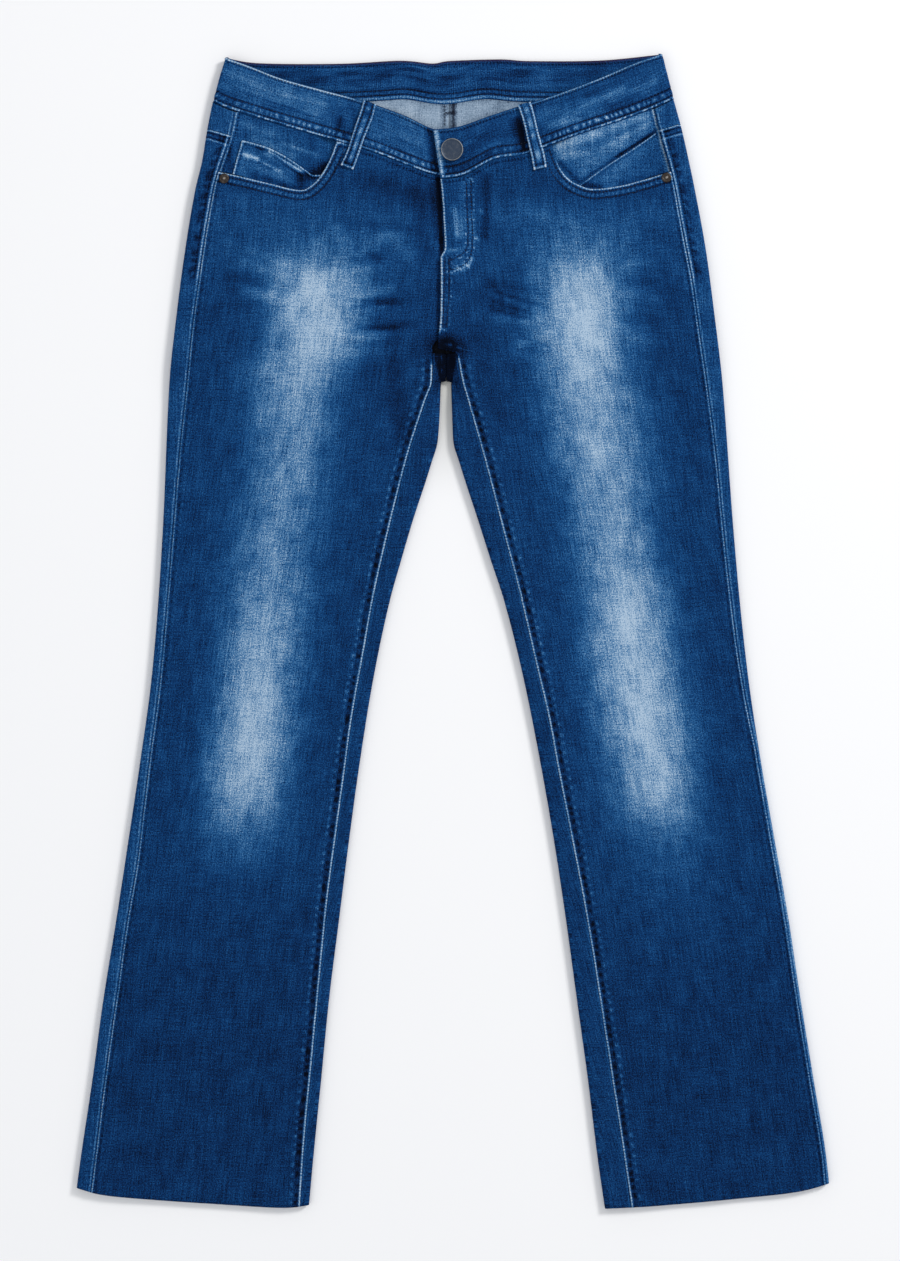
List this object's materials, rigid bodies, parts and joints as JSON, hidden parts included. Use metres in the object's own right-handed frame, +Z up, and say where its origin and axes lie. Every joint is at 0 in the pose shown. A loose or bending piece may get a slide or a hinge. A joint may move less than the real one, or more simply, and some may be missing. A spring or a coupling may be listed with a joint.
{
  "type": "pair of jeans laid flat",
  "caption": "Low-rise boot-cut denim jeans, buttoned and laid flat with the front up, with a lapped waistband, curved front pockets, belt loops and flared legs.",
  "frame": {"origin": "middle of the laid-out jeans' outline, on the surface that they lie on", "axes": "+X towards the wearer's left side, +Y towards the waist, +Z up out of the front"},
  "size_m": [0.6666, 1.0226, 0.0132],
  "materials": {
    "denim": "washed indigo twill, faded on the thighs and seams",
    "denim_waistband": "washed indigo twill",
    "denim_inside": "pale wrong side of the twill",
    "button_metal": "gunmetal",
    "rivet_metal": "dark antique brass"
  },
  "bodies": {
    "root": {"front_right": "denim", "front_left": "denim", "back_right": "denim", "back_left": "denim", "yoke_right": "denim_inside", "yoke_left": "denim_inside", "waistband": "denim_waistband", "pocket_facing_right": "denim", "pocket_facing_left": "denim", "pocket_facing_left_lower": "denim", "coin_pocket": "denim", "belt_loop_front_right": "denim_waistband", "belt_loop_front_left": "denim_waistband", "belt_loop_back_right": "denim_waistband", "belt_loop_back_centre": "denim_waistband", "belt_loop_back_left": "denim_waistband", "back_pocket_right": "denim", "back_pocket_left": "denim", "button": "button_metal", "rivet_right": "rivet_metal", "rivet_left": "rivet_metal"}
  },
  "joints": []
}
